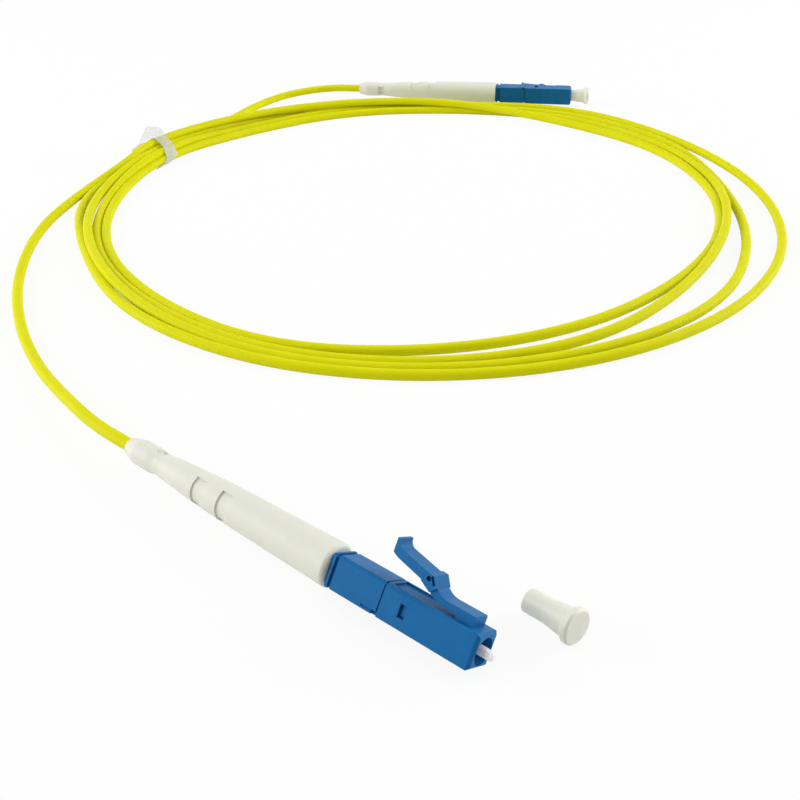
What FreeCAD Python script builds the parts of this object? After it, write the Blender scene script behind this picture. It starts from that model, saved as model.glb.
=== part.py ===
import FreeCAD, Part
import math
import os
from FreeCAD import Placement, Rotation, Vector

# A fibre optic patch cable: one coiled simplex cord with a small latching plug on each end, in millimetres.
# The origin is the middle of plug A's front face, on the axis of its ferrule. +X points out of that plug and
# +Z up. The floor is one boot radius below the axis, because the boot's front end lies on it.

# Front housing: a square nose with a round mouth, a seat lip inside and a square socket at the back
NOSE = 4.5
HOUSING_LENGTH = 13.5
NOSE_BEVEL = 0.4
EDGE_ROUND = 0.2
MOUTH_RADIUS = 1.75
MOUTH_DEPTH = 2.4
SEAT_RADIUS = 1.25
SEAT_THICKNESS = 0.8
FLANGE_ROOM_RADIUS = 1.6
SOCKET = 3.4
SOCKET_DEPTH = 4.7
WINDOW_SETBACK = 9.8
WINDOW_LENGTH = 1.0
WINDOW_HEIGHT = 1.7
TOP_CHAMFER = 0.5
CHANNEL_WIDTH = 3.1
CHANNEL_DEPTH = 0.25
CHANNEL_END_WALL = 0.5

# Latch: a block on the nose, a thin arm that flexes at its root, a shoulder with two ears and a thumb lever.
# Its heights are above the nose's top, and its lengths are behind the root of the arm.
LATCH_WIDTH = 2.7
BLOCK_SETBACK = 1.6
BLOCK_LENGTH = 2.5
ROOT_GAP = 0.02
ARM_GAP = 0.37
ARM_THICKNESS = 0.93
ARM_LENGTH = 1.6
ARM_UNDER_LENGTH = 1.92
ARM_SAG = 0.16
SLOPE_BACK = 3.32
SLOPE_HEIGHT = 1.98
SHOULDER_BACK = 4.15
SHOULDER_HEIGHT = 3.0
SHOULDER_LENGTH = 0.85
HEEL_HEIGHT = 1.23
LEVER_STEP = 0.2
LEVER_THICKNESS = 1.15
LEVER_LENGTH = 10.55
LEVER_RISE = 0.95
LEVER_UNDER_SETBACK = 0.69
TIP_HEIGHT = 5.25
TIP_THICKNESS = 0.45
TIP_RAMP = 1.15
TIP_SAG = 0.25
TIP_BEVEL_LENGTH = 0.86
TIP_BEVEL_HEIGHT = 0.4
EAR_WIDTH = 0.25
EAR_LIP = 0.25
EAR_BACK_LIP = 0.1
POCKET_DEPTH = 0.5
POCKET_RADIUS = 0.32
POCKET_FORWARD = 0.38
SLOT_WIDTH = 0.3
SLOT_LENGTH = 1.1
SLOT_FORWARD = 0.78

# Rear body: snaps into the socket and ends in a rim behind a groove
REAR_LENGTH = 8.7
TENON_CLEARANCE = 0.05
TAB_CLEARANCE = 0.18
TAB_RISE = 0.2
RIM_LENGTH = 0.75
RIM_CHAMFER = 0.4
REAR_CHAMFER = 0.4
GROOVE_WIDTH = 0.5
GROOVE_DEPTH = 0.35
SEAM_WIDTH = 0.2
SEAM_DEPTH = 0.2
NOTCH_LENGTH = 0.9
NOTCH_HEIGHT = 0.6
NOTCH_DEPTH = 0.5
MARK_LENGTH = 1.6
MARK_HEIGHT = 0.25
MARK_DEPTH = 0.12

# Ferrule, its hexagonal flange and the spring behind it
FERRULE_RADIUS = 0.625
FERRULE_OUT = 1.5
FERRULE_CHAMFER = 0.22
FERRULE_SEAT_RADIUS = 0.45
FERRULE_SEAT_LENGTH = 1.9
FLANGE_ACROSS_CORNERS = 3.0
FLANGE_LENGTH = 1.7
FLANGE_TAIL_RADIUS = 0.8
FLANGE_TAIL_LENGTH = 5.4
STOP_GAP = 0.02
SPRING_WIRE_RADIUS = 0.18
SPRING_MEAN_RADIUS = 1.04
SPRING_TURNS = 6
SPRING_LENGTH = 7.65
SPRING_CLEARANCE = 0.12

# Crimp post behind the spring, with the yarn and the crimp ring on its barrel
POST_RADIUS = 1.55
POST_CLEARANCE = 0.04
POST_COLLAR_RADIUS = 1.85
POST_COLLAR_LENGTH = 0.55
BARREL_RADIUS = 1.3
BARREL_LENGTH = 5.6
BARREL_GROOVES = 4
BARREL_GROOVE_DEPTH = 0.12
BARREL_GROOVE_WIDTH = 0.45
FIBRE_RADIUS = 0.3
FIBRE_CLEARANCE = 0.08
FIBRE_STOP = 1.1
YARN_THICKNESS = 0.24
CRIMP_CLEARANCE = 0.02
CRIMP_WALL = 0.3
CRIMP_NECK_LENGTH = 3.0

# Boot: a soft tapered sleeve with two rows of slots in its sides, a waist with a nick over and under it, and
# a collar at its thin end. BOOT_FALL has points of the taper, as shares of its length and fall in radius.
BOOT_RADIUS = 3.05
BOOT_LENGTH = 40.7
BOOT_WAIST_RADIUS = 1.8
BOOT_COLLAR_RADIUS = 1.95
BOOT_COLLAR_LENGTH = 4.2
BOOT_END_RADIUS = 1.42
BOOT_END_TAPER = 2.2
BOOT_WAIST_LENGTH = 1.4
BOOT_COLLAR_RAMP = 1.3
BOOT_FRONT_ROUND = 0.6
BOOT_SLOT_ROWS = (19.0, 24.2)
BOOT_SLOT_LENGTH = 2.1
BOOT_SLOT_DEPTH = 0.3
BOOT_SLOT_SWEEP = 118.0
BOOT_SLOT_TURN = 104.0
BOOT_FALL = ((0.48, 0.26), (0.84, 0.65))
BOOT_CLEARANCE = 0.06
BOOT_HOLD_SLACK = 0.24
BOOT_NICK_SETBACK = 34.1
BOOT_NICK_LENGTH = 1.7
BOOT_NICK_DEPTH = 0.45
BOOT_NICK_SWEEP = 70.0

# Dust cap: a turned sleeve with a blind bore for the ferrule and a flared head
CAP_RADIUS = 1.58
CAP_STRAIGHT = 3.0
CAP_NECK_RADIUS = 1.95
CAP_LENGTH = 7.5
CAP_HEAD_RADIUS = 2.4
CAP_HEAD_LENGTH = 1.1
CAP_BORE_CLEARANCE = 0.035
CAP_RIM_ROUND = 0.3
CAP_TIP_GAP = 0.1
CAP_SEAT_GAP = 0.1

# Cord and its coil: an oval ring of turns, pinched at the tie and fanned out on the side away from it
CORD_DIAMETER = 2.0
COIL_CENTRE = (-95.4, 106.1)
COIL_INNER = (65.5, 71.5)
COIL_HEIGHT = 4.6
COIL_ROUND = 1.2
BUNDLE_WIDTH = 8.2
FAN_WIDTH = 16.4
FAN_ANGLE = 20.0
FAN_SHARPNESS = 2
COIL_POINTS = 24
TIE_ANGLE = 194.0
TIED_WIDTH = 6.2
TIED_HEIGHT = 3.9
PINCH = 2.2
PINCH_SHARPNESS = 40
TIE_WIDTH = 4.2
TIE_THICKNESS = 0.45
TIE_ROUND = 1.1
TIE_END_WIDTH = 3.6
TIE_END_THICKNESS = 0.4
TIE_END_START = -1.8
TIE_END_LENGTH = 5.8
TIE_END_RISE = 2.6
TIE_END_SAG = 0.35

# Places: plug A is rolled on its boot, plug B lies behind the coil, and one cap lies loose beside plug A
FLOOR = -BOOT_RADIUS
PLUG_A_ROLL = -31.0
PLUG_B_ROLL = -90.0
PLUG_B_NOSE = (-109.3, 196.1)
PLUG_B_HEADING = 33.0
LOOSE_CAP_HEAD = (6.0, 10.6)
LOOSE_CAP_HEADING = -8.0

# Free stretches of the cord: points on its middle line from each boot to the coil, after a straight lead. An
# arc rounds each corner and takes up a share of the shorter run beside it.
CORD_REST = FLOOR + CORD_DIAMETER / 2
CORD_LEAD = 9.0
ARC_SHARE = 0.45
REAR_END = -HOUSING_LENGTH - REAR_LENGTH
BOOT_END = REAR_END - BOOT_LENGTH
TAIL_A = [
    (-84.0, 2.7, -1.0),
    (-96.0, 6.0, CORD_REST),
    (-110.0, 11.5, CORD_REST),
    (-125.0, 20.1, CORD_REST),
    (-138.4, 30.8, CORD_REST),
    (-149.4, 42.8, CORD_REST),
    (-157.0, 55.9, CORD_REST),
    (-162.6, 67.0, CORD_REST),
    (-165.6, 77.1, CORD_REST),
]
TAIL_B = [
    (-177.7, 147.1, -1.2),
    (-178.7, 135.5, CORD_REST),
    (-175.3, 123.7, CORD_REST),
    (-171.6, 112.6, CORD_REST),
    (-168.8, 101.6, CORD_REST),
]

# Cutters run this far past what they cut, and lengths under the second value count as nothing
THROUGH = 1.0
TINY = 1e-6


def block(x0, x1, width, bottom, top):
    """A box from x0 to x1 along the plug, centred sideways."""
    return Part.makeBox(x1 - x0, width, top - bottom, Vector(x0, -width / 2, bottom))


def rod(radius, x0, x1):
    """A round bar on the plug's axis."""
    return Part.makeCylinder(radius, x1 - x0, Vector(x0, 0, 0), Vector(1, 0, 0))


def turned(*profile):
    """A piece turned about the plug's axis from (x, radius) points, closed in order."""
    wire = Part.makePolygon([Vector(x, 0, r) for x, r in profile + profile[:1]])
    return Part.Face(wire).revolve(Vector(0, 0, 0), Vector(1, 0, 0), 360)


def line(a, b):
    return Part.LineSegment(a, b).toShape()


def lines(points):
    return [line(a, b) for a, b in zip(points, points[1:])]


def bowed(a, b, sag):
    """An arc in the side view from a to b, its middle off the chord by sag, to the left of a to b."""
    chord = b - a
    left = Vector(-chord.z, 0, chord.x).normalize()
    return Part.Arc(a, (a + b) * 0.5 + left * sag, b).toShape()


def one(shape):
    """The single solid of a finished piece."""
    solids = shape.removeSplitter().Solids
    if len(solids) != 1:
        raise ValueError(f"expected one solid, found {len(solids)}")
    return solids[0]


def long_edges(shape, height=None):
    """The edges of a bar that run along the plug, or only those at one height."""
    found = []
    for edge in shape.Edges:
        box = edge.BoundBox
        if box.XLength > TINY and box.YLength < TINY and box.ZLength < TINY:
            if height is None or abs(box.ZMax - height) < TINY:
                found.append(edge)
    return found


def latch_outline():
    """Side view of the latch behind its root: x along the plug, z up, from the root's underside round."""
    root = -BLOCK_SETBACK - BLOCK_LENGTH
    arm_top = ARM_GAP + ARM_THICKNESS
    lever_front = SHOULDER_BACK + SHOULDER_LENGTH
    lever_low = SHOULDER_HEIGHT + LEVER_STEP
    lever_high = lever_low + LEVER_RISE
    under_high = lever_high - LEVER_THICKNESS

    def at(back, height):
        return Vector(root - back, 0, NOSE / 2 + height)

    root_under = at(ROOT_GAP, ARM_GAP)
    root_top = at(ROOT_GAP, arm_top)
    arm_end = at(ARM_LENGTH, arm_top)
    slope = at(SLOPE_BACK, SLOPE_HEIGHT)
    top_run = [slope, at(SHOULDER_BACK, SHOULDER_HEIGHT), at(lever_front, lever_low)]
    top_run += [at(LEVER_LENGTH - TIP_RAMP, lever_high)]
    heel = at(SHOULDER_BACK, HEEL_HEIGHT)
    lever_under = at(lever_front + LEVER_UNDER_SETBACK, lever_low - LEVER_THICKNESS)
    back_run = [at(LEVER_LENGTH - TIP_THICKNESS, TIP_HEIGHT), at(LEVER_LENGTH, TIP_HEIGHT)]
    back_run += [at(LEVER_LENGTH, under_high + TIP_BEVEL_HEIGHT)]
    back_run += [at(LEVER_LENGTH - TIP_BEVEL_LENGTH, under_high), lever_under, heel]
    arm_under = at(ARM_UNDER_LENGTH, ARM_GAP)
    edges = lines([arm_under, root_under, root_top, arm_end]) + [bowed(arm_end, slope, ARM_SAG)]
    edges += lines(top_run) + [bowed(top_run[-1], back_run[0], TIP_SAG)]
    edges += lines(back_run) + [bowed(heel, arm_under, -ARM_SAG)]
    brow = at(SHOULDER_BACK, SHOULDER_HEIGHT + EAR_LIP)
    ear = [lever_under, heel, slope, brow, at(lever_front, lever_low + EAR_BACK_LIP)]
    return edges, ear


def sideways(wire, half_width):
    """A side-view wire thickened equally to both sides."""
    return Part.Face(wire).translated(Vector(0, half_width, 0)).extrude(Vector(0, -2 * half_width, 0))


def latch_lever():
    edges, ear = latch_outline()
    lever = sideways(Part.Wire(edges), LATCH_WIDTH / 2)
    ears = sideways(Part.makePolygon(ear + ear[:1]), LATCH_WIDTH / 2 + EAR_WIDTH)
    lever = lever.fuse(ears)
    under, slope, brow, back = ear[:1] + ear[2:]
    # two cored pockets in each side of the shoulder, a round one behind a slot that follows the front slope
    rear_mid = (under + back) * 0.5
    forward = (slope + brow) * 0.5 - rear_mid
    round_at = rear_mid + forward * POCKET_FORWARD
    slot_at = rear_mid + forward * SLOT_FORWARD
    along = (brow - slope).normalize() * SLOT_LENGTH / 2
    across = Vector(along.z, 0, -along.x).normalize() * SLOT_WIDTH / 2
    corners = [slot_at - along - across, slot_at + along - across, slot_at + along + across]
    corners += [slot_at - along + across, corners[0]]
    for side in (-1, 1):
        floor = Vector(0, side * (LATCH_WIDTH / 2 + EAR_WIDTH - POCKET_DEPTH), 0)
        out = Vector(0, side, 0)
        pocket = Part.makeCylinder(POCKET_RADIUS, THROUGH, round_at + floor, out)
        slot = Part.Face(Part.makePolygon(corners)).translated(floor).extrude(out * THROUGH)
        lever = lever.cut(pocket).cut(slot)
    return one(lever)


def front_housing():
    half = NOSE / 2
    root = -BLOCK_SETBACK - BLOCK_LENGTH
    body = block(-HOUSING_LENGTH, 0, NOSE, -half, half)
    body = body.makeChamfer(NOSE_BEVEL, [e for e in body.Edges if e.BoundBox.XMin > -TINY])
    body = body.makeFillet(EDGE_ROUND, long_edges(body))
    # bevelled top edges and a shallow channel under the thumb lever
    bevel_end = root - TOP_CHAMFER
    for side in (-1, 1):
        corner = [(half, half - TOP_CHAMFER), (half, half), (half - TOP_CHAMFER, half)]
        section = [Vector(-HOUSING_LENGTH, side * y, z) for y, z in corner]
        bevel = Part.Face(Part.makePolygon(section + section[:1]))
        body = body.cut(bevel.extrude(Vector(HOUSING_LENGTH + bevel_end, 0, 0)))
    channel_back = -HOUSING_LENGTH + CHANNEL_END_WALL
    body = body.cut(block(channel_back, root, CHANNEL_WIDTH, half - CHANNEL_DEPTH, half + THROUGH))
    # the block that the latch grows from
    block_top = half + ARM_GAP + ARM_THICKNESS
    root_block = block(root, -BLOCK_SETBACK, LATCH_WIDTH, half - EDGE_ROUND, block_top)
    front_top = [e for e in root_block.Edges if e.BoundBox.XMin > -BLOCK_SETBACK - TINY]
    front_top = [e for e in front_top if e.BoundBox.ZMin > half]
    body = body.fuse(root_block.makeFillet(EDGE_ROUND, front_top))
    # mouth, seat lip, flange room and socket, from the front to the back
    seat_back = -MOUTH_DEPTH - SEAT_THICKNESS
    socket_front = -HOUSING_LENGTH + SOCKET_DEPTH
    body = body.cut(rod(MOUTH_RADIUS, -MOUTH_DEPTH, THROUGH))
    body = body.cut(rod(SEAT_RADIUS, seat_back - THROUGH, 0))
    body = body.cut(rod(FLANGE_ROOM_RADIUS, socket_front - THROUGH, seat_back))
    body = body.cut(block(-HOUSING_LENGTH - THROUGH, socket_front, SOCKET, -SOCKET / 2, SOCKET / 2))
    # snap windows through both sides
    window_front = -WINDOW_SETBACK
    window_back = window_front - WINDOW_LENGTH
    body = body.cut(block(window_back, window_front, NOSE + THROUGH, -WINDOW_HEIGHT / 2, WINDOW_HEIGHT / 2))
    return one(body)


def rear_body():
    half = NOSE / 2
    front = -HOUSING_LENGTH
    body = block(REAR_END, front, NOSE, -half, half)
    # rear rim with a bevelled end, bevelled top edges, a groove in front of the rim and one at the housing
    rim = [e for e in body.Edges if e.BoundBox.XMax < REAR_END + TINY]
    body = body.makeChamfer(RIM_CHAMFER, rim)
    body = body.makeChamfer(REAR_CHAMFER, long_edges(body, half))
    body = body.makeFillet(EDGE_ROUND, long_edges(body, -half))
    rim_groove = (REAR_END + RIM_LENGTH, GROOVE_WIDTH, GROOVE_DEPTH)
    seam = (front - SEAM_WIDTH, SEAM_WIDTH, SEAM_DEPTH)
    for back, width, depth in (rim_groove, seam):
        core = NOSE - 2 * depth
        ring = block(back, back + width, NOSE + 2 * THROUGH, -half - THROUGH, half + THROUGH)
        body = body.cut(ring.cut(block(REAR_END, front, core, -core / 2, core / 2)))
    # release notch at each lower front corner, and a shallow mark above it
    mark_bottom = -half + NOTCH_HEIGHT - MARK_HEIGHT
    for side in (-1, 1):
        low = Vector(front - NOTCH_LENGTH, side * half - NOTCH_DEPTH, -half - THROUGH)
        body = body.cut(Part.makeBox(NOTCH_LENGTH + THROUGH, 2 * NOTCH_DEPTH, NOTCH_HEIGHT + THROUGH, low))
        low = Vector(front - NOTCH_LENGTH - MARK_LENGTH, side * half - MARK_DEPTH, mark_bottom)
        body = body.cut(Part.makeBox(MARK_LENGTH, 2 * MARK_DEPTH, MARK_HEIGHT, low))
    # tenon with a snap tab on each side, in the housing's windows
    tenon = SOCKET - 2 * TENON_CLEARANCE
    tenon_front = front + SOCKET_DEPTH - TENON_CLEARANCE
    body = body.fuse(block(front - THROUGH, tenon_front, tenon, -tenon / 2, tenon / 2))
    tab_front = -WINDOW_SETBACK - TAB_CLEARANCE
    tab_back = -WINDOW_SETBACK - WINDOW_LENGTH + TAB_CLEARANCE
    tab_half = WINDOW_HEIGHT / 2 - TAB_CLEARANCE
    body = body.fuse(block(tab_back, tab_front, tenon + 2 * TAB_RISE, -tab_half, tab_half))
    # room for the spring, then the bore that holds the crimp post
    spring_room = SPRING_MEAN_RADIUS + SPRING_WIRE_RADIUS + SPRING_CLEARANCE
    body = body.cut(rod(spring_room, post_front() - THROUGH, tenon_front + THROUGH))
    body = body.cut(rod(POST_RADIUS + POST_CLEARANCE, REAR_END - THROUGH, post_front()))
    return one(body)


def flange_front():
    return -MOUTH_DEPTH - SEAT_THICKNESS - STOP_GAP


def post_front():
    return flange_front() - FLANGE_LENGTH - SPRING_LENGTH - 2 * STOP_GAP


def ferrule():
    front = flange_front()
    rear = front - FERRULE_SEAT_LENGTH
    shoulder = FERRULE_OUT - FERRULE_CHAMFER
    tip = FERRULE_RADIUS - FERRULE_CHAMFER
    profile = [(rear, 0), (rear, FERRULE_SEAT_RADIUS), (front, FERRULE_SEAT_RADIUS), (front, FERRULE_RADIUS)]
    return one(turned(*profile, (shoulder, FERRULE_RADIUS), (FERRULE_OUT, tip), (FERRULE_OUT, 0)))


def ferrule_flange():
    front = flange_front()
    back = front - FLANGE_LENGTH
    corner = FLANGE_ACROSS_CORNERS / 2
    angles = [math.radians(60 * i + 30) for i in range(7)]
    hexagon = [Vector(back, corner * math.cos(a), corner * math.sin(a)) for a in angles]
    flange = Part.Face(Part.makePolygon(hexagon)).extrude(Vector(FLANGE_LENGTH, 0, 0))
    flange = flange.fuse(rod(FLANGE_TAIL_RADIUS, back - FLANGE_TAIL_LENGTH, front))
    flange = flange.cut(rod(FERRULE_SEAT_RADIUS, front - FERRULE_SEAT_LENGTH, front + THROUGH))
    bore = rod(FIBRE_RADIUS + FIBRE_CLEARANCE, back - FLANGE_TAIL_LENGTH - THROUGH, front)
    return one(flange.cut(bore))


def spring():
    """A round-wire compression spring between the flange and the crimp post."""
    rise = SPRING_LENGTH - 2 * SPRING_WIRE_RADIUS
    helix = Part.makeHelix(rise / SPRING_TURNS, rise, SPRING_MEAN_RADIUS)
    wire_end = Part.Circle(Vector(SPRING_MEAN_RADIUS, 0, 0), Vector(0, 1, 0), SPRING_WIRE_RADIUS)
    coil = Part.Wire(helix).makePipeShell([Part.Wire(wire_end.toShape())], True, True)
    start = post_front() + STOP_GAP + SPRING_WIRE_RADIUS
    coil.Placement = Placement(Vector(start, 0, 0), Rotation(Vector(0, 1, 0), 90))
    return coil


def barrel_end():
    return REAR_END - POST_COLLAR_LENGTH - BARREL_LENGTH


def crimp_post():
    collar_back = REAR_END - POST_COLLAR_LENGTH
    end = barrel_end()
    bore = FIBRE_RADIUS + FIBRE_CLEARANCE
    profile = [(post_front(), bore), (post_front(), POST_RADIUS), (REAR_END, POST_RADIUS)]
    profile += [(REAR_END, POST_COLLAR_RADIUS), (collar_back, POST_COLLAR_RADIUS)]
    profile += [(collar_back, BARREL_RADIUS), (end, BARREL_RADIUS), (end, bore)]
    post = turned(*profile)
    pitch = BARREL_LENGTH / (BARREL_GROOVES + 1)
    for i in range(BARREL_GROOVES):
        front = collar_back - pitch * (i + 1) + BARREL_GROOVE_WIDTH / 2
        ring = rod(BARREL_RADIUS + THROUGH, front - BARREL_GROOVE_WIDTH, front)
        post = post.cut(ring.cut(rod(BARREL_RADIUS - BARREL_GROOVE_DEPTH, end, collar_back)))
    return one(post)


def buffered_fibre():
    rear = flange_front() - FERRULE_SEAT_LENGTH
    return rod(FIBRE_RADIUS, barrel_end() + FIBRE_STOP / 2, rear)


def yarn_sleeve():
    front = REAR_END - POST_COLLAR_LENGTH - STOP_GAP
    inner = BARREL_RADIUS + CRIMP_CLEARANCE
    bore = rod(inner, barrel_end() - THROUGH, front + THROUGH)
    return one(rod(inner + YARN_THICKNESS, barrel_end(), front).cut(bore))


def jacket_front():
    return barrel_end() - FIBRE_STOP / 2


def crimp_ring():
    front = REAR_END - POST_COLLAR_LENGTH - STOP_GAP
    wide = BARREL_RADIUS + YARN_THICKNESS + 2 * CRIMP_CLEARANCE
    narrow = CORD_DIAMETER / 2 + CRIMP_CLEARANCE
    step = barrel_end()
    neck = jacket_front() - CRIMP_CLEARANCE
    end = neck - CRIMP_NECK_LENGTH
    outside = [(front, wide + CRIMP_WALL), (step, wide + CRIMP_WALL), (neck, narrow + CRIMP_WALL)]
    outside += [(end, narrow + CRIMP_WALL)]
    return one(turned(*outside, (end, narrow), (neck, narrow), (step, wide), (front, wide)))


def boot_slots(setback, length, bottom, sweep, turn):
    """Cutter for two opposite slots round the boot, the first one turned so far from the top."""
    near = REAR_END - setback + length / 2
    far = near - length
    profile = [(far, bottom), (near, bottom), (near, BOOT_RADIUS), (far, BOOT_RADIUS), (far, bottom)]
    section = Part.Face(Part.makePolygon([Vector(a, 0, r) for a, r in profile]))
    cutters = []
    for opposite in (0, 180):
        start = section.rotated(Vector(0, 0, 0), Vector(1, 0, 0), turn + opposite - sweep / 2)
        cutters.append(start.revolve(Vector(0, 0, 0), Vector(1, 0, 0), sweep))
    return Part.makeCompound(cutters)


def boot():
    hold_radius = BARREL_RADIUS + YARN_THICKNESS + 2 * CRIMP_CLEARANCE + CRIMP_WALL + BOOT_CLEARANCE
    hold_radius = max(hold_radius, POST_COLLAR_RADIUS + BOOT_CLEARANCE)
    hold_end = jacket_front() - CRIMP_NECK_LENGTH - BOOT_HOLD_SLACK
    cord_bore = CORD_DIAMETER / 2 + BOOT_CLEARANCE
    collar_back = BOOT_END + BOOT_END_TAPER
    collar_front = collar_back + BOOT_COLLAR_LENGTH
    waist_front = collar_front + BOOT_WAIST_LENGTH
    length = REAR_END - waist_front
    fall = BOOT_RADIUS - BOOT_WAIST_RADIUS
    # outside, from the plug to the cord: a full front, a long fall that steepens and eases, a waist, a collar
    front = Vector(REAR_END - BOOT_FRONT_ROUND, 0, BOOT_RADIUS)
    inset = BOOT_FRONT_ROUND * (1 - math.sqrt(0.5))
    round_mid = Vector(REAR_END - inset, 0, BOOT_RADIUS - inset)
    lip = Vector(REAR_END, 0, BOOT_RADIUS - BOOT_FRONT_ROUND)
    between = [Vector(REAR_END - length * along, 0, BOOT_RADIUS - fall * down) for along, down in BOOT_FALL]
    waist = Vector(waist_front, 0, BOOT_WAIST_RADIUS)
    side = Part.BSplineCurve()
    side.interpolate([front] + between + [waist])
    rest = [waist, Vector(collar_front, 0, BOOT_WAIST_RADIUS)]
    rest += [Vector(collar_front - BOOT_COLLAR_RAMP, 0, BOOT_COLLAR_RADIUS)]
    rest += [Vector(collar_back, 0, BOOT_COLLAR_RADIUS), Vector(BOOT_END, 0, BOOT_END_RADIUS)]
    rest += [Vector(BOOT_END, 0, cord_bore), Vector(hold_end, 0, cord_bore)]
    rest += [Vector(hold_end, 0, hold_radius), Vector(REAR_END, 0, hold_radius), lip]
    edges = [Part.Arc(lip, round_mid, front).toShape(), side.toShape()] + lines(rest)
    sleeve = Part.Face(Part.Wire(edges)).revolve(Vector(0, 0, 0), Vector(1, 0, 0), 360)
    # shallow slots part of the way round let it bend: two rows in its sides, and the nicks at its waist
    for setback in BOOT_SLOT_ROWS:
        across = Part.Plane(Vector(REAR_END - setback, 0, 0), Vector(1, 0, 0))
        bottom = side.intersectCS(across)[0][0].Z - BOOT_SLOT_DEPTH
        sleeve = sleeve.cut(boot_slots(setback, BOOT_SLOT_LENGTH, bottom, BOOT_SLOT_SWEEP, BOOT_SLOT_TURN))
    bottom = BOOT_WAIST_RADIUS - BOOT_NICK_DEPTH
    sleeve = sleeve.cut(boot_slots(BOOT_NICK_SETBACK, BOOT_NICK_LENGTH, bottom, BOOT_NICK_SWEEP, 0))
    return one(sleeve)


def cap_bore_depth():
    return MOUTH_DEPTH - CAP_SEAT_GAP + FERRULE_OUT + CAP_TIP_GAP


def dust_cap():
    """A cap with its mouth at x = 0 and its head towards +X."""
    bore = FERRULE_RADIUS + CAP_BORE_CLEARANCE
    depth = cap_bore_depth()
    head_back = CAP_LENGTH - CAP_HEAD_LENGTH
    profile = [(0, bore), (0, CAP_RADIUS), (CAP_STRAIGHT, CAP_RADIUS)]
    profile += [(head_back - CAP_RIM_ROUND, CAP_NECK_RADIUS)]
    profile += [(head_back, CAP_HEAD_RADIUS - CAP_RIM_ROUND / 2)]
    profile += [(head_back + CAP_RIM_ROUND, CAP_HEAD_RADIUS), (CAP_LENGTH - CAP_RIM_ROUND, CAP_HEAD_RADIUS)]
    profile += [(CAP_LENGTH, CAP_HEAD_RADIUS - CAP_RIM_ROUND), (CAP_LENGTH, 0)]
    return one(turned(*profile, (depth, 0), (depth, bore)))


def held_cord():
    """The cord's end inside the boot and the crimp ring."""
    return rod(CORD_DIAMETER / 2, BOOT_END, jacket_front())


def plug():
    """Every piece of one plug, in the plug's own frame."""
    pieces = {"front_housing": front_housing(), "latch_lever": latch_lever(), "rear_body": rear_body()}
    pieces.update(ferrule=ferrule(), ferrule_flange=ferrule_flange(), ferrule_spring=spring())
    pieces.update(buffered_fibre=buffered_fibre(), crimp_post=crimp_post(), yarn_sleeve=yarn_sleeve())
    pieces.update(crimp_ring=crimp_ring(), boot=boot())
    return pieces


def arc_turn(before, corner, after):
    """Start, middle and end of the arc that rounds one corner of a route, and its radius."""
    u = (corner - before).normalize()
    v = (after - corner).normalize()
    half_turn = u.getAngle(v) / 2
    reach = ARC_SHARE * min((corner - before).Length, (after - corner).Length)
    radius = reach / math.tan(half_turn)
    inward = (v - u).normalize()
    middle = corner + inward * (radius / math.cos(half_turn) - radius)
    return corner - u * reach, middle, corner + v * reach, radius


def cord_tube(name, points):
    """A round tube along straight runs joined by tangent arcs."""
    points = [Vector(*p) for p in points]
    edges = []
    radii = []
    start = points[0]
    for before, corner, after in zip(points, points[1:], points[2:]):
        first, middle, last, radius = arc_turn(before, corner, after)
        edges += [line(start, first), Part.Arc(first, middle, last).toShape()]
        radii.append(round(radius, 1))
        start = last
    edges.append(line(start, points[-1]))
    path = Part.Wire(edges)
    section = Part.Wire(Part.Circle(points[0], points[1] - points[0], CORD_DIAMETER / 2).toShape())
    tube = path.makePipeShell([section], True, False)
    expected = path.Length * math.pi * CORD_DIAMETER**2 / 4
    print(f"{name}: length {path.Length:.1f}, volume {tube.Volume / expected:.4f} of section times length")
    print(f"{name}: arc radii {radii}")
    return tube


def swell(angle, centre, sharpness):
    """1 at the centre angle, falling smoothly to 0 on the far side of the coil."""
    return ((1 + math.cos(math.radians(angle - centre))) / 2) ** sharpness


def coil_point(angle, outward):
    """A point on the floor at an offset outward from the coil's oval inner edge."""
    a = math.radians(angle)
    x = COIL_CENTRE[0] + (COIL_INNER[0] + outward) * math.cos(a)
    y = COIL_CENTRE[1] + (COIL_INNER[1] + outward) * math.sin(a)
    return Vector(x, y, FLOOR)


def coil_inner(angle):
    return PINCH * swell(angle, TIE_ANGLE, PINCH_SHARPNESS)


def coil_outer(angle):
    tied = PINCH + TIED_WIDTH + TIE_THICKNESS / 2
    pinch = swell(angle, TIE_ANGLE, PINCH_SHARPNESS)
    free = BUNDLE_WIDTH + (FAN_WIDTH - BUNDLE_WIDTH) * swell(angle, FAN_ANGLE, FAN_SHARPNESS)
    return free * (1 - pinch) + tied * pinch


def cable_coil():
    """The outer shape of all the turns: a flat ring between two smooth closed outlines."""
    outlines = []
    for offset in (coil_outer, coil_inner):
        curve = Part.BSplineCurve()
        angles = [TIE_ANGLE + 360.0 / COIL_POINTS * i for i in range(COIL_POINTS)]
        curve.interpolate([coil_point(a, offset(a)) for a in angles], PeriodicFlag=True)
        outlines.append(Part.Wire(curve.toShape()))
    ring = Part.Face(outlines[0]).cut(Part.Face(outlines[1])).Faces[0].extrude(Vector(0, 0, COIL_HEIGHT))
    rims = [e for e in ring.Edges if e.BoundBox.ZLength < COIL_HEIGHT / 2]
    return ring.makeFillet(COIL_ROUND, rims)


def tie_place():
    """Frame of the tie: x along the bundle, y outward, z up, at floor level in the middle of the bundle."""
    inward = PINCH + TIED_WIDTH / 2
    ahead = coil_point(TIE_ANGLE - 1, inward) - coil_point(TIE_ANGLE + 1, inward)
    heading = math.degrees(math.atan2(ahead.y, ahead.x))
    return Placement(coil_point(TIE_ANGLE, inward), Rotation(Vector(0, 0, 1), heading))


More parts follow.
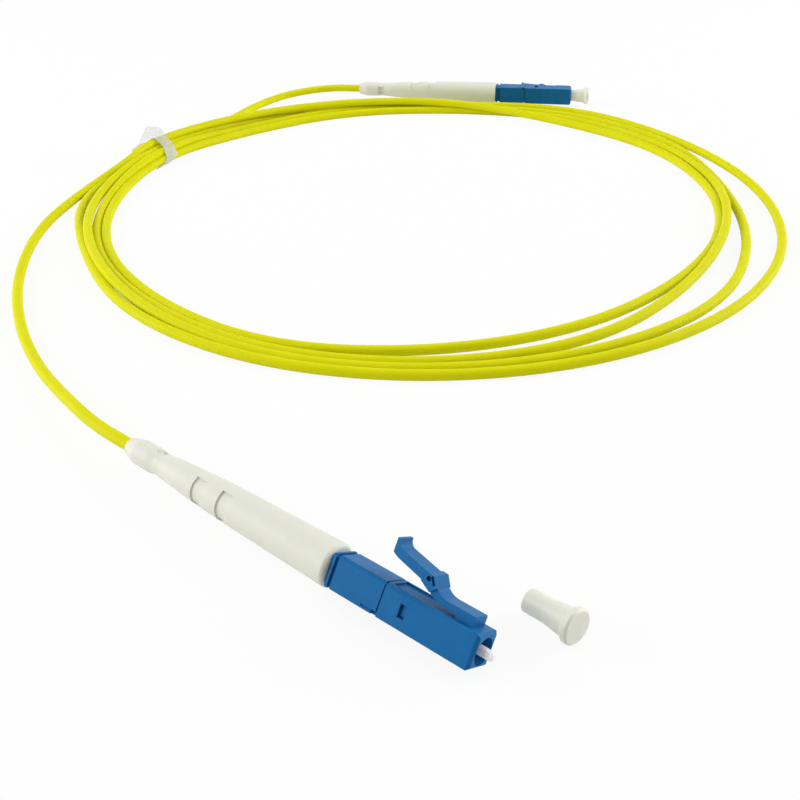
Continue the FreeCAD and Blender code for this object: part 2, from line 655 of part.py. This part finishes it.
def wrap_bar(skin, length):
    """The tied bundle as a rounded bar along x, thickened all round by skin."""
    bottom = TIE_THICKNESS - skin
    bar = block(-length / 2, length / 2, TIED_WIDTH + 2 * skin, bottom, bottom + TIED_HEIGHT + 2 * skin)
    return bar.makeFillet(TIE_ROUND + skin, long_edges(bar))


def tie():
    """A thin wrap round the bundle, its free end laid over the top and rising as it goes outward."""
    outer = wrap_bar(TIE_THICKNESS, TIE_WIDTH)
    inner = wrap_bar(0, TIE_WIDTH + THROUGH)
    # the free end is drawn in the side view, then turned so that it runs across the bundle
    root_height = TIED_HEIGHT + 1.5 * TIE_THICKNESS - TIE_END_THICKNESS / 2
    thick = Vector(0, 0, TIE_END_THICKNESS)
    root = Vector(TIE_END_START, -TIE_END_WIDTH / 2, root_height)
    tip = root + Vector(TIE_END_LENGTH, 0, TIE_END_RISE)
    under = bowed(root, tip, -TIE_END_SAG)
    over = bowed(tip + thick, root + thick, TIE_END_SAG)
    wire = Part.Wire([under, line(tip, tip + thick), over, line(root + thick, root)])
    free_end = Part.Face(wire).extrude(Vector(0, TIE_END_WIDTH, 0))
    free_end.rotate(Vector(0, 0, 0), Vector(0, 0, 1), 90)
    return one(outer.fuse(free_end).cut(inner))


def loose_cap_place():
    """The loose cap lies on the rims of its head and its mouth."""
    head_x = CAP_LENGTH - CAP_RIM_ROUND
    droop = math.degrees(math.atan2(CAP_HEAD_RADIUS - CAP_RADIUS, head_x))
    turn = Rotation(Vector(0, 0, 1), LOOSE_CAP_HEADING).multiply(Rotation(Vector(0, 1, 0), -droop))
    rim = turn.multVec(Vector(head_x, 0, -CAP_HEAD_RADIUS))
    face = turn.multVec(Vector(CAP_LENGTH, 0, 0))
    return Placement(Vector(LOOSE_CAP_HEAD[0] - face.x, LOOSE_CAP_HEAD[1] - face.y, FLOOR - rim.z), turn)


def save(name, shape, place=None):
    if place is not None:
        shape = shape.copy()
        shape.Placement = place.multiply(shape.Placement)
    shape.exportStep(f"parts/{name}.step")


os.makedirs("parts", exist_ok=True)
place_a = Placement(Vector(0, 0, 0), Rotation(Vector(1, 0, 0), PLUG_A_ROLL))
heading_b = Rotation(Vector(0, 0, 1), PLUG_B_HEADING)
place_b = Placement(Vector(*PLUG_B_NOSE, 0), heading_b.multiply(Rotation(Vector(1, 0, 0), PLUG_B_ROLL)))
pieces = plug()
for suffix, place in (("a", place_a), ("b", place_b)):
    for name, shape in pieces.items():
        save(f"{name}_{suffix}", shape, place)

cap = dust_cap()
save("dust_cap_a", cap, loose_cap_place())
seated = Placement(Vector(CAP_SEAT_GAP - MOUTH_DEPTH, 0, 0), Rotation())
save("dust_cap_b", cap, place_b.multiply(seated))

wrap = tie()
wrap.Placement = tie_place()
coil = cable_coil().cut(wrap)
tails = {}
for name, place, route in (("a", place_a, TAIL_A), ("b", place_b, TAIL_B)):
    lead = [tuple(place.multVec(Vector(x, 0, 0))) for x in (BOOT_END, BOOT_END - CORD_LEAD)]
    held = held_cord()
    held.Placement = place
    free = cord_tube(f"cable_tail_{name}", lead + route).fuse(held).cut(coil)
    tails[name] = max(free.removeSplitter().Solids, key=lambda solid: solid.Volume)
save("cable_tie", wrap)
save("cable_coil", one(coil))
save("cable_tail_a", tails["a"])
save("cable_tail_b", tails["b"])
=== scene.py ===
import math

import bpy
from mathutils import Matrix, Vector


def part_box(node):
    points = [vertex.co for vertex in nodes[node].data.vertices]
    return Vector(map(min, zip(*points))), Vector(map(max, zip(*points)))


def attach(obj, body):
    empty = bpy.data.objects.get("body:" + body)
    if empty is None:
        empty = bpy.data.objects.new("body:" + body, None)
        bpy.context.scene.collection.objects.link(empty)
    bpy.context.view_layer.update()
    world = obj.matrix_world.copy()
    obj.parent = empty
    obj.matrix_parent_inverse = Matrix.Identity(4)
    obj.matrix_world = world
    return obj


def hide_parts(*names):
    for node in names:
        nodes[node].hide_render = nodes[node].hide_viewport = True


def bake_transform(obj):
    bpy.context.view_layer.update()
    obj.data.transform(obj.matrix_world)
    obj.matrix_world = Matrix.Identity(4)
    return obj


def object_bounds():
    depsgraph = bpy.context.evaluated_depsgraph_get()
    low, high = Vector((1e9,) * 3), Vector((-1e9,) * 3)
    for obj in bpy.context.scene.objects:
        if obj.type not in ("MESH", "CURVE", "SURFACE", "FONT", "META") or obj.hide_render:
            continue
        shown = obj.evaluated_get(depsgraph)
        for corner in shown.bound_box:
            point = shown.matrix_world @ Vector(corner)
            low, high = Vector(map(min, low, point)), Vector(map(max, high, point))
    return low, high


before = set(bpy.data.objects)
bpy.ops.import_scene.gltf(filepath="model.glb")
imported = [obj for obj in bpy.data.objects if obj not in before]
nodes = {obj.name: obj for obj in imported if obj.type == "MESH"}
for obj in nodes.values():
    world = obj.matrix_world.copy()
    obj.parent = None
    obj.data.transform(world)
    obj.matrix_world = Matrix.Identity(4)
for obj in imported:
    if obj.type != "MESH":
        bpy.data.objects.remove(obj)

# The studio: a pale floor with no seams, a broad soft box low on each side and a weaker one overhead.
# Little light comes from the camera's side, so edges that face it are darker than the faces beside them.
MM = 0.001
cad_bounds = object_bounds()


def place(obj):
    """Link a new object into the scene."""
    bpy.context.scene.collection.objects.link(obj)
    return obj


CAMERA_PLACE = Vector((44.97, -68.93, 85.52)) * MM
CAMERA_HEADING = 129.67
CAMERA_DROP = 32.42
camera = place(bpy.data.objects.new("camera", bpy.data.cameras.new("camera")))
camera.data.lens = 45.9
camera.data.clip_start = 10 * MM
camera.location = CAMERA_PLACE
camera.rotation_euler = [math.radians(a) for a in (90 - CAMERA_DROP, 0, CAMERA_HEADING - 90)]
bpy.context.scene.camera = camera
bpy.context.scene.view_settings.view_transform = "Standard"

FLOOR = cad_bounds[0][2]
FLOOR_HALF = 3.0
floor_mesh = bpy.data.meshes.new("floor")
floor_corners = [(x * FLOOR_HALF, y * FLOOR_HALF, FLOOR) for x, y in ((-1, -1), (1, -1), (1, 1), (-1, 1))]
floor_mesh.from_pydata(floor_corners, [], [(0, 1, 2, 3)])
floor = place(bpy.data.objects.new("floor", floor_mesh))

# The floor is matt white paper. Seen directly or in a reflection, most of it is plain white, and the rest
# takes the shadow.
PAPER_GLOW = 0.9


def linear(hex_colour):
    """An sRGB hex colour such as 2A6DAE as linear RGBA."""
    channels = [int(hex_colour[i : i + 2], 16) / 255 for i in (0, 2, 4)]
    return [c / 12.92 if c <= 0.04045 else ((c + 0.055) / 1.055) ** 2.4 for c in channels] + [1.0]


def add(tree, kind, inputs=None, **settings):
    """Add a node with its settings, and give each named input a value or a link from another node."""
    made = tree.nodes.new(kind)
    for name, value in settings.items():
        setattr(made, name, value)
    for name, value in (inputs or {}).items():
        if isinstance(value, bpy.types.NodeSocket):
            tree.links.new(value, made.inputs[name])
        else:
            made.inputs[name].default_value = value
    return made


def new_material(name):
    """A material with an empty node tree, and that tree."""
    made = bpy.data.materials.new(name)
    made.use_nodes = True
    made.node_tree.nodes.clear()
    return made, made.node_tree


def seen_plainly(tree):
    """1 for what is seen directly, in a reflection or through the film, and 0 for other light."""
    rays = add(tree, "ShaderNodeLightPath")
    seen = rays.outputs["Is Camera Ray"]
    for kind in ("Is Glossy Ray", "Is Transmission Ray"):
        seen = add(tree, "ShaderNodeMath", {0: seen, 1: rays.outputs[kind]}, operation="MAXIMUM").outputs[0]
    return seen


paper, tree = new_material("matt white paper")
share = add(tree, "ShaderNodeMath", {0: seen_plainly(tree), 1: PAPER_GLOW}, operation="MULTIPLY")
shade = add(tree, "ShaderNodeBsdfDiffuse", {"Color": linear("F4F4F2")})
glow = add(tree, "ShaderNodeEmission", {"Color": linear("FFFFFF")})
mixed = add(tree, "ShaderNodeMixShader", {0: share.outputs[0], 1: shade.outputs[0], 2: glow.outputs[0]})
add(tree, "ShaderNodeOutputMaterial", {"Surface": mixed.outputs[0]})
floor_mesh.materials.append(paper)

SKY_LIGHT = 0.34
world = bpy.data.worlds.new("studio")
bpy.context.scene.world = world
world.use_nodes = True
tree = world.node_tree
tree.nodes.clear()
level = add(tree, "ShaderNodeMapRange", {"Value": seen_plainly(tree), "To Min": SKY_LIGHT, "To Max": 1.0})
sky = add(tree, "ShaderNodeBackground", {"Color": linear("FFFFFF"), "Strength": level.outputs[0]})
add(tree, "ShaderNodeOutputWorld", {"Surface": sky.outputs[0]})

BOX_SIDE = 0.60
LIT_SPOT = Vector((-0.06, 0.06, 0))
for name, where, watts in (
    ("left_box", (-0.66, -0.44, 0.36), 5.6),
    ("right_box", (0.44, 0.70, 0.36), 5.6),
    ("top_box", (-0.15, 0.20, 0.90), 1.6),
):
    lamp = place(bpy.data.objects.new(name, bpy.data.lights.new(name, "AREA")))
    lamp.data.size = BOX_SIDE
    lamp.data.energy = watts
    lamp.location = where
    lamp.rotation_euler = (LIT_SPOT - lamp.location).to_track_quat("-Z", "Y").to_euler()

# The plug bodies: nose with its latch, and the rear half snapped into it. They are moulded in blue
# polyester, so they have an even colour, a satin skin and a faint flow pattern under it. The grain that the
# mould gives the skin is drawn coarser than it is, so that it shows.
FLOW_MM = 2.4
SPARK_MM = 0.16
GRAIN_DEPTH = 0.03 * MM
polyester, tree = new_material("moulded blue polyester")
here = add(tree, "ShaderNodeTexCoord").outputs["Object"]
flow = add(tree, "ShaderNodeTexNoise", {"Vector": here, "Scale": 1 / (FLOW_MM * MM), "Detail": 3})
spark = add(tree, "ShaderNodeTexNoise", {"Vector": here, "Scale": 1 / (SPARK_MM * MM), "Detail": 2})
tones = {"Factor": flow.outputs["Fac"], "A": linear("075F9A"), "B": linear("136AA5")}
colour = add(tree, "ShaderNodeMix", tones, data_type="RGBA")
rough = add(tree, "ShaderNodeMapRange", {"Value": spark.outputs["Fac"], "To Min": 0.34, "To Max": 0.48})
skin = add(tree, "ShaderNodeBump", {
    "Height": spark.outputs["Fac"], "Strength": 0.12, "Distance": GRAIN_DEPTH})
surface = add(tree, "ShaderNodeBsdfPrincipled", {
    "Base Color": colour.outputs["Result"], "Roughness": rough.outputs[0], "Normal": skin.outputs[0],
    "IOR": 1.55, "Specular IOR Level": 0.12})
add(tree, "ShaderNodeOutputMaterial", {"Surface": surface.outputs[0]})


def dress(material, *names):
    """Give CAD nodes, named without their plug's letter, one material at both ends of the cable."""
    for name in names:
        for end in ("a", "b"):
            slots = nodes[f"{name}_{end}"].data.materials
            slots.clear()
            slots.append(material)


dress(polyester, "front_housing", "latch_lever", "rear_body")

# The ferrules: zirconia ceramic, ground round, polished on the end face and pressed into the flange. They
# are dense and white, almost glossy on the side, and a little light goes into them. The marks of grinding
# are drawn coarser than they are, so that they show.
GRIND_MM = 0.1
zirconia, tree = new_material("ground zirconia")
here = add(tree, "ShaderNodeTexCoord").outputs["Object"]
grind = add(tree, "ShaderNodeTexNoise", {"Vector": here, "Scale": 1 / (GRIND_MM * MM), "Detail": 2})
rough = add(tree, "ShaderNodeMapRange", {"Value": grind.outputs["Fac"], "To Min": 0.16, "To Max": 0.28})
surface = add(tree, "ShaderNodeBsdfPrincipled", {
    "Base Color": linear("FBFBF8"), "Roughness": rough.outputs[0], "IOR": 2.1,
    "Subsurface Weight": 0.8, "Subsurface Radius": (0.9, 0.9, 0.85), "Subsurface Scale": 0.9 * MM})
add(tree, "ShaderNodeOutputMaterial", {"Surface": surface.outputs[0]})
dress(zirconia, "ferrule")

# The metal inside each plug: flange, crimp post and crimp ring in nickel-plated brass, turned on a lathe,
# and a spring of drawn steel wire. Both are bright, and tool marks make their gloss a little uneven. The
# marks are drawn coarser than they are.
TOOL_MARK_MM = 0.12
nickel, nickel_tree = new_material("turned nickel plate")
steel, steel_tree = new_material("drawn spring steel")
for tree, tone, low, high in ((nickel_tree, "CFC8B8", 0.22, 0.36), (steel_tree, "B4B6B8", 0.26, 0.42)):
    here = add(tree, "ShaderNodeTexCoord").outputs["Object"]
    marks = add(tree, "ShaderNodeTexNoise", {"Vector": here, "Scale": 1 / (TOOL_MARK_MM * MM)})
    rough = add(tree, "ShaderNodeMapRange", {"Value": marks.outputs["Fac"], "To Min": low, "To Max": high})
    surface = add(tree, "ShaderNodeBsdfPrincipled", {
        "Base Color": linear(tone), "Metallic": 1.0, "Roughness": rough.outputs[0]})
    add(tree, "ShaderNodeOutputMaterial", {"Surface": surface.outputs[0]})
dress(nickel, "ferrule_flange", "crimp_post", "crimp_ring")
dress(steel, "ferrule_spring")


# Each spring sits between the crimp post and the flange. Its mesh is copied into an object of its own, set
# where it stands, and the CAD spring is hidden.
for end in ("a", "b"):
    wire = nodes[f"ferrule_spring_{end}"].data.copy()
    coil_spring = place(bpy.data.objects.new(f"coil_spring_{end}", wire))
    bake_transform(coil_spring)
    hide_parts(f"ferrule_spring_{end}")

# The fibre in its tight buffer, a satin skin of white nylon, and the golden aramid yarn, which is laid over
# the post and held under the crimp ring. The yarn's filaments are drawn coarser than they are.
buffer, buffer_tree = new_material("nylon fibre buffer")
aramid, aramid_tree = new_material("aramid yarn")
for tree, pale, deep, grain_mm, roughness in (
    (buffer_tree, "F2F0E6", "E9E6D8", 0.4, 0.4),
    (aramid_tree, "D9B93C", "C49F25", 0.12, 0.7),
):
    here = add(tree, "ShaderNodeTexCoord").outputs["Object"]
    grain = add(tree, "ShaderNodeTexNoise", {"Vector": here, "Scale": 1 / (grain_mm * MM)})
    tones = {"Factor": grain.outputs["Fac"], "A": linear(pale), "B": linear(deep)}
    colour = add(tree, "ShaderNodeMix", tones, data_type="RGBA")
    surface = add(tree, "ShaderNodeBsdfPrincipled", {
        "Base Color": colour.outputs["Result"], "Roughness": roughness})
    add(tree, "ShaderNodeOutputMaterial", {"Surface": surface.outputs[0]})
dress(buffer, "buffered_fibre")
dress(aramid, "yarn_sleeve")

# The boots: white thermoplastic rubber, moulded over a pin and pushed over the crimp ring. It lets light a
# little way in, and its skin is matt and slightly cloudy. The skin's grain is drawn coarser than it is, so
# that it shows.
CLOUD_MM = 3.0
GRAIN_MM = 0.18
rubber, tree = new_material("white thermoplastic rubber")
here = add(tree, "ShaderNodeTexCoord").outputs["Object"]
cloud = add(tree, "ShaderNodeTexNoise", {"Vector": here, "Scale": 1 / (CLOUD_MM * MM), "Detail": 4})
grain = add(tree, "ShaderNodeTexNoise", {"Vector": here, "Scale": 1 / (GRAIN_MM * MM), "Detail": 2})
tones = {"Factor": cloud.outputs["Fac"], "A": linear("DADBCD"), "B": linear("E5E6DA")}
colour = add(tree, "ShaderNodeMix", tones, data_type="RGBA")
rough = add(tree, "ShaderNodeMapRange", {"Value": grain.outputs["Fac"], "To Min": 0.5, "To Max": 0.66})
skin = add(tree, "ShaderNodeBump", {
    "Height": grain.outputs["Fac"], "Strength": 0.08, "Distance": GRAIN_DEPTH})
surface = add(tree, "ShaderNodeBsdfPrincipled", {
    "Base Color": colour.outputs["Result"], "Roughness": rough.outputs[0], "Normal": skin.outputs[0],
    "IOR": 1.5,
    "Subsurface Weight": 0.2, "Subsurface Radius": (1.0, 0.95, 0.8), "Subsurface Scale": 0.6 * MM})
add(tree, "ShaderNodeOutputMaterial", {"Surface": surface.outputs[0]})
dress(rubber, "boot")

# The dust caps: soft white polythene, each moulded in one piece with a blind bore that slides on the
# ferrule. The plastic is waxy, so it has a dim gloss, and light goes a little way into it.
WAX_MM = 1.6
polythene, tree = new_material("moulded white polythene")
here = add(tree, "ShaderNodeTexCoord").outputs["Object"]
wax = add(tree, "ShaderNodeTexNoise", {"Vector": here, "Scale": 1 / (WAX_MM * MM), "Detail": 3})
tones = {"Factor": wax.outputs["Fac"], "A": linear("DFE0D1"), "B": linear("EAEBDE")}
colour = add(tree, "ShaderNodeMix", tones, data_type="RGBA")
rough = add(tree, "ShaderNodeMapRange", {"Value": wax.outputs["Fac"], "To Min": 0.38, "To Max": 0.52})
surface = add(tree, "ShaderNodeBsdfPrincipled", {
    "Base Color": colour.outputs["Result"], "Roughness": rough.outputs[0], "IOR": 1.51,
    "Subsurface Weight": 0.3, "Subsurface Radius": (1.0, 0.95, 0.85), "Subsurface Scale": 0.5 * MM})
add(tree, "ShaderNodeOutputMaterial", {"Surface": surface.outputs[0]})
dress(polythene, "dust_cap")

# The cord: a 2 mm simplex cable with a smooth extruded yellow jacket, held in each plug by the crimp ring.
# It leaves plug A, runs to the tie, makes four turns that fan out away from the tie, and goes on to plug B.
CORD_DIAMETER = 2.0 * MM
REST = FLOOR + CORD_DIAMETER / 2
PLUG_B_NOSE = Vector((-0.1093, 0.1961, 0.0))
PLUG_B_HEADING = math.radians(33.0)
plug_b_axis = Vector((math.cos(PLUG_B_HEADING), math.sin(PLUG_B_HEADING), 0.0))
RING_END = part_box("crimp_ring_a")[0].x
BOOT_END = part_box("boot_a")[0].x
END_IN_RING = 3.0 * MM
LEAD = 9.0 * MM

tail_a = [
    (-0.0840, 0.0027, -0.0010), (-0.0960, 0.0060, REST), (-0.1100, 0.0115, REST), (-0.1250, 0.0201, REST),
    (-0.1384, 0.0308, REST), (-0.1494, 0.0428, REST), (-0.1570, 0.0559, REST),
    (-0.1615, 0.0676, REST + 0.6 * MM), (-0.1641, 0.0777, REST + 1.9 * MM),
]
tail_b = [
    (-0.1688, 0.1016, REST), (-0.1716, 0.1126, REST), (-0.1753, 0.1237, REST), (-0.1787, 0.1355, REST),
    (-0.1777, 0.1471, -0.0012),
]

# The turns are drawn about one centre, each control point a step of the turn from the last. A row of LANES
# has the radii in millimetres of the four turns at one step. RAISED has the layers by which a turn is lifted
# at a step where it crosses another, and TIE_SLOTS the offset and the layer of each pass through the tie.
COIL_CENTRE = Vector((-94.36, 103.07, 0)) * MM
TIE_PHASE = 192.6
TIED_RADIUS = 71.46
LANES = (
    (73.7, 68.1, 71.0, 74.0),
    (74.2, 72.0, 74.0, 76.0),
    (74.6, 74.0, 76.2, 79.0),
    (73.4, 79.0, 82.5, 87.5),
    (75.2, 78.2, 81.8, 84.6),
    (71.7, 73.6, 74.5, 83.0),
    (67.7, 68.8, 73.5, 81.2),
    (64.7, 67.2, 75.2, 79.1),
    (65.2, 70.3, 74.1, 76.9),
    (66.8, 71.3, 73.4, 75.6),
    (69.6, 71.5, 73.4, 75.3),
    (67.9, 69.9, 71.9, 74.2),
    (67.9, 69.8, 71.2, 71.9),
    (68.1, 70.2, 72.5, 76.1),
)
RAISED = {
    (0, 0): 1.6, (1, 0): 1.4, (2, 0): 1.3, (3, 0): 0.3, (0, 3): 0.5, (1, 2): 0.3,
    (5, 1): 0.5, (6, 1): 1.0, (7, 1): 0.2, (11, 2): 0.35, (12, 2): 1.0, (13, 2): 0.3,
}
TIE_SLOTS = ((1.2, 2.15), (-1.7, 0.15), (-1.0, 1.3), (0.9, 1.25), (1.4, 0.0))
LAYER = 1.73 * MM
TIE_LIFT = 0.15 * MM
STEP = 360 / (len(LANES) + 1)
SPLINE_SHRINK = (6 + 2 * math.cos(math.radians(STEP))) / 8


def coil_point(phase, radius, height):
    """A control point of a turn, pushed outward by what the spline cuts off the corners."""
    turn = math.radians(phase)
    reach = radius * MM / SPLINE_SHRINK
    return COIL_CENTRE + Vector((reach * math.cos(turn), reach * math.sin(turn), height))


turns = []
for turn, (offset, layer) in enumerate(TIE_SLOTS):
    turns.append(coil_point(TIE_PHASE, TIED_RADIUS + offset, REST + TIE_LIFT + layer * LAYER))
    for i, lane in enumerate(LANES):
        if turn < len(lane):
            height = REST + RAISED.get((i, turn), 0.0) * LAYER
            turns.append(coil_point(TIE_PHASE - STEP * (i + 1), lane[turn], height))

plug_a_run = [(x, 0, 0) for x in (RING_END + END_IN_RING, BOOT_END, BOOT_END - LEAD)]
plug_b_run = [PLUG_B_NOSE + plug_b_axis * point[0] for point in reversed(plug_a_run)]
route = plug_a_run + tail_a + turns + tail_b + plug_b_run

# Each point of the curve carries the cord's own radius, so the depth of its bevel is 1.
cord_curve = bpy.data.curves.new("cord", "CURVE")
cord_curve.dimensions = "3D"
cord_curve.bevel_depth = 1.0
cord_curve.bevel_resolution = 6
cord_curve.resolution_u = 10
cord_curve.use_fill_caps = True
line = cord_curve.splines.new("NURBS")
line.points.add(len(route) - 1)
for control, point in zip(line.points, route):
    control.co = (*point, 1.0)
    control.radius = CORD_DIAMETER / 2
line.order_u = 3
line.use_endpoint_u = True
cord = place(bpy.data.objects.new("cord", cord_curve))
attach(cord, "cable")
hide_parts("cable_tail_a", "cable_coil", "cable_tail_b")

# The jacket is flexible vinyl: bright yellow and satin, with a slight waver along it from the extruder. The
# grain of its skin is drawn coarser than it is, so that it shows.
WAVER_MM = 6.0
FINE_MM = 0.25
vinyl, tree = new_material("extruded yellow vinyl")
here = add(tree, "ShaderNodeTexCoord").outputs["Object"]
waver = add(tree, "ShaderNodeTexNoise", {"Vector": here, "Scale": 1 / (WAVER_MM * MM), "Detail": 2})
fine = add(tree, "ShaderNodeTexNoise", {"Vector": here, "Scale": 1 / (FINE_MM * MM), "Detail": 2})
tones = {"Factor": waver.outputs["Fac"], "A": linear("D5D404"), "B": linear("E2E10E")}
colour = add(tree, "ShaderNodeMix", tones, data_type="RGBA")
rough = add(tree, "ShaderNodeMapRange", {"Value": fine.outputs["Fac"], "To Min": 0.4, "To Max": 0.54})
skin = add(tree, "ShaderNodeBump", {
    "Height": fine.outputs["Fac"], "Strength": 0.05, "Distance": GRAIN_DEPTH})
surface = add(tree, "ShaderNodeBsdfPrincipled", {
    "Base Color": colour.outputs["Result"], "Roughness": rough.outputs[0], "Normal": skin.outputs[0],
    "IOR": 1.53, "Specular IOR Level": 0.06})
add(tree, "ShaderNodeOutputMaterial", {"Surface": surface.outputs[0]})
cord_curve.materials.append(vinyl)

# The tie: a strip of thin milky polythene film, wrapped once round the five passes of the cord and gathered
# there. It winds along them as it goes, and its free end spreads out over their outer edge. Its sizes here
# are in millimetres.
FILM_WIDTH = 3.6
FILM_SLACK = 0.15
FILM_EASE = 1.4
FILM_THICKNESS = 0.12
CREASE_ALONG = 2.3
CREASE_ACROSS = 2.9
STRIP_ROWS = 7
WRAP_DEGREES = range(40, -260, -10)
WRAP_FROM = 4.6
WRAP_TO = -2.6
WRAP_BOW = 1.9
WRAP_SPREAD = 1.0
CORD_RADIUS = CORD_DIAMETER / 2 / MM
outward = Vector((math.cos(math.radians(TIE_PHASE)), math.sin(math.radians(TIE_PHASE)), 0))
along = Vector((-outward.y, outward.x, 0))
foot = COIL_CENTRE + outward * TIED_RADIUS * MM + Vector((0, 0, REST))

# Each pass is followed along the spline by half a step to either side of the tie.
HALF_SAMPLES = 20
passes = []
for turn in range(len(TIE_SLOTS)):
    at = len(plug_a_run) + len(tail_a) + turn * (len(LANES) + 1)
    before, control, after = (Vector(point) - foot for point in route[at - 1 : at + 2])
    samples = []
    for k in range(-HALF_SAMPLES, HALF_SAMPLES + 1):
        t = k / (2 * HALF_SAMPLES)
        spot = before * (0.5 - t) ** 2 / 2 + control * (0.75 - t * t) + after * (0.5 + t) ** 2 / 2
        samples.append((spot.dot(along) / MM, Vector((spot.dot(outward), spot.z)) / MM))
    passes.append(samples)


def passes_at(ahead):
    """Where the passes lie at a place along the cord, outward and up from the tie's foot."""
    return [min(samples, key=lambda sample: abs(sample[0] - ahead))[1] for samples in passes]


def on_tie(out, up, ahead):
    """A point of the film from its place outward, up and along the cord, kept off the floor."""
    height = max(up, FILM_THICKNESS - CORD_RADIUS)
    return foot + (along * ahead + outward * out + Vector((0, 0, height))) * MM


def crease(row, column):
    """How the gathered film is creased at one of its corners, from -1 to 1."""
    return math.sin(CREASE_ALONG * row + CREASE_ACROSS * column)


shares = [j / (STRIP_ROWS - 1) - 0.5 for j in range(STRIP_ROWS)]
corners = []
for i, degrees in enumerate(WRAP_DEGREES):
    facing = Vector((math.cos(math.radians(degrees)), math.sin(math.radians(degrees))))
    wound = i / len(WRAP_DEGREES)
    bulge = math.sin(math.pi * wound)
    middle_line = WRAP_FROM + (WRAP_TO - WRAP_FROM) * wound + WRAP_BOW * bulge
    width = FILM_WIDTH + WRAP_SPREAD * bulge
    for j, share in enumerate(shares):
        ahead = middle_line + width * share
        slack = FILM_SLACK * (FILM_EASE + crease(i, j))
        out, up = max(passes_at(ahead), key=facing.dot) + facing * (CORD_RADIUS + slack)
        corners.append(on_tie(out, up, ahead))

# Rows of the free end: outward, up, along the cord, width, and how much lower the near edge is.
FREE_END = (
    (1.6, 5.2, -2.2, 4.0, 0.6),
    (2.9, 5.4, -1.5, 5.0, 1.5),
    (4.2, 5.1, -0.5, 6.4, 2.6),
    (5.4, 4.4, 0.5, 7.4, 3.4),
)
FREE_CREASE = 0.06
LEAN = 0.6
for i, (out, up, ahead, width, drop) in enumerate(FREE_END, len(WRAP_DEGREES)):
    for j, share in enumerate(shares):
        puff = 1 + FREE_CREASE * crease(i, j)
        reach = (out - LEAN * drop * share) * puff
        corners.append(on_tie(reach, (up - drop * share) * puff, ahead + width * share))

faces = []
for first in range(len(corners) - STRIP_ROWS):
    if first % STRIP_ROWS < STRIP_ROWS - 1:
        faces.append((first, first + 1, first + STRIP_ROWS + 1, first + STRIP_ROWS))
tie_mesh = bpy.data.meshes.new("film_tie")
tie_mesh.from_pydata(corners, [], faces)
tie_mesh.shade_smooth()
film_tie = place(bpy.data.objects.new("film_tie", tie_mesh))
film_tie.modifiers.new("curve", "SUBSURF").render_levels = 2
film_tie.modifiers["curve"].levels = 2
film_tie.modifiers.new("film", "SOLIDIFY").thickness = FILM_THICKNESS * MM
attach(film_tie, "cable")
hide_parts("cable_tie")

# The film is blown polythene: thin, limp and milky in clouds, so the yellow shows through it unevenly.
HAZE_MM = 0.8
film, tree = new_material("milky polythene film")
here = add(tree, "ShaderNodeTexCoord").outputs["Object"]
haze = add(tree, "ShaderNodeTexNoise", {"Vector": here, "Scale": 1 / (HAZE_MM * MM), "Detail": 3})
rough = add(tree, "ShaderNodeMapRange", {"Value": haze.outputs["Fac"], "To Min": 0.3, "To Max": 0.5})
veil = add(tree, "ShaderNodeMapRange", {"Value": haze.outputs["Fac"], "To Min": 0.25, "To Max": 0.6})
surface = add(tree, "ShaderNodeBsdfPrincipled", {
    "Base Color": linear("E2E3E0"), "Roughness": rough.outputs[0], "IOR": 1.51, "Alpha": veil.outputs[0]})
add(tree, "ShaderNodeOutputMaterial", {"Surface": surface.outputs[0]})
tie_mesh.materials.append(film)

bpy.context.view_layer.update()
